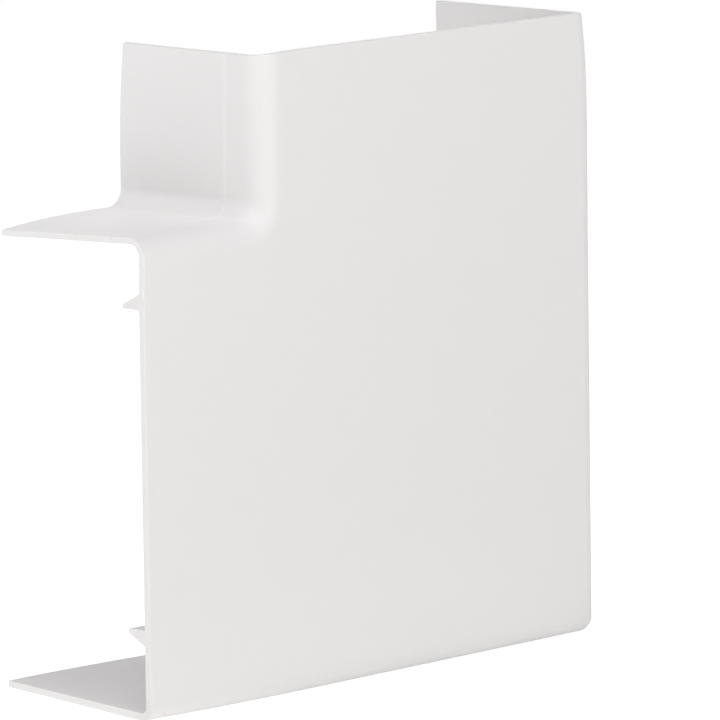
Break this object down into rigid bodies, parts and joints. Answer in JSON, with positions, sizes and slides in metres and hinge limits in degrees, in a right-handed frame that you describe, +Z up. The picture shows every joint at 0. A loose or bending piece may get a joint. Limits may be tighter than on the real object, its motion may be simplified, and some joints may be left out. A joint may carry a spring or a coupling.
{
  "type": "trunking flat angle",
  "caption": "Plain L-shaped moulded cover that clips over a flat 90 degree corner of rectangular wall trunking, with an open back and open mouths.",
  "frame": {"origin": "under the middle of the cover, on the surface that its bottom wall stands on, halfway between the face and the rim", "axes": "+X along the left arm towards the outer corner, +Y from the face into the wall, +Z up the top arm"},
  "size_m": [0.1251, 0.0396, 0.1251],
  "materials": {
    "white_plastic": "moulded rigid PVC with a fine even grain and a low sheen"
  },
  "bodies": {
    "root": {"flat_angle_cover": "white_plastic"}
  },
  "joints": []
}
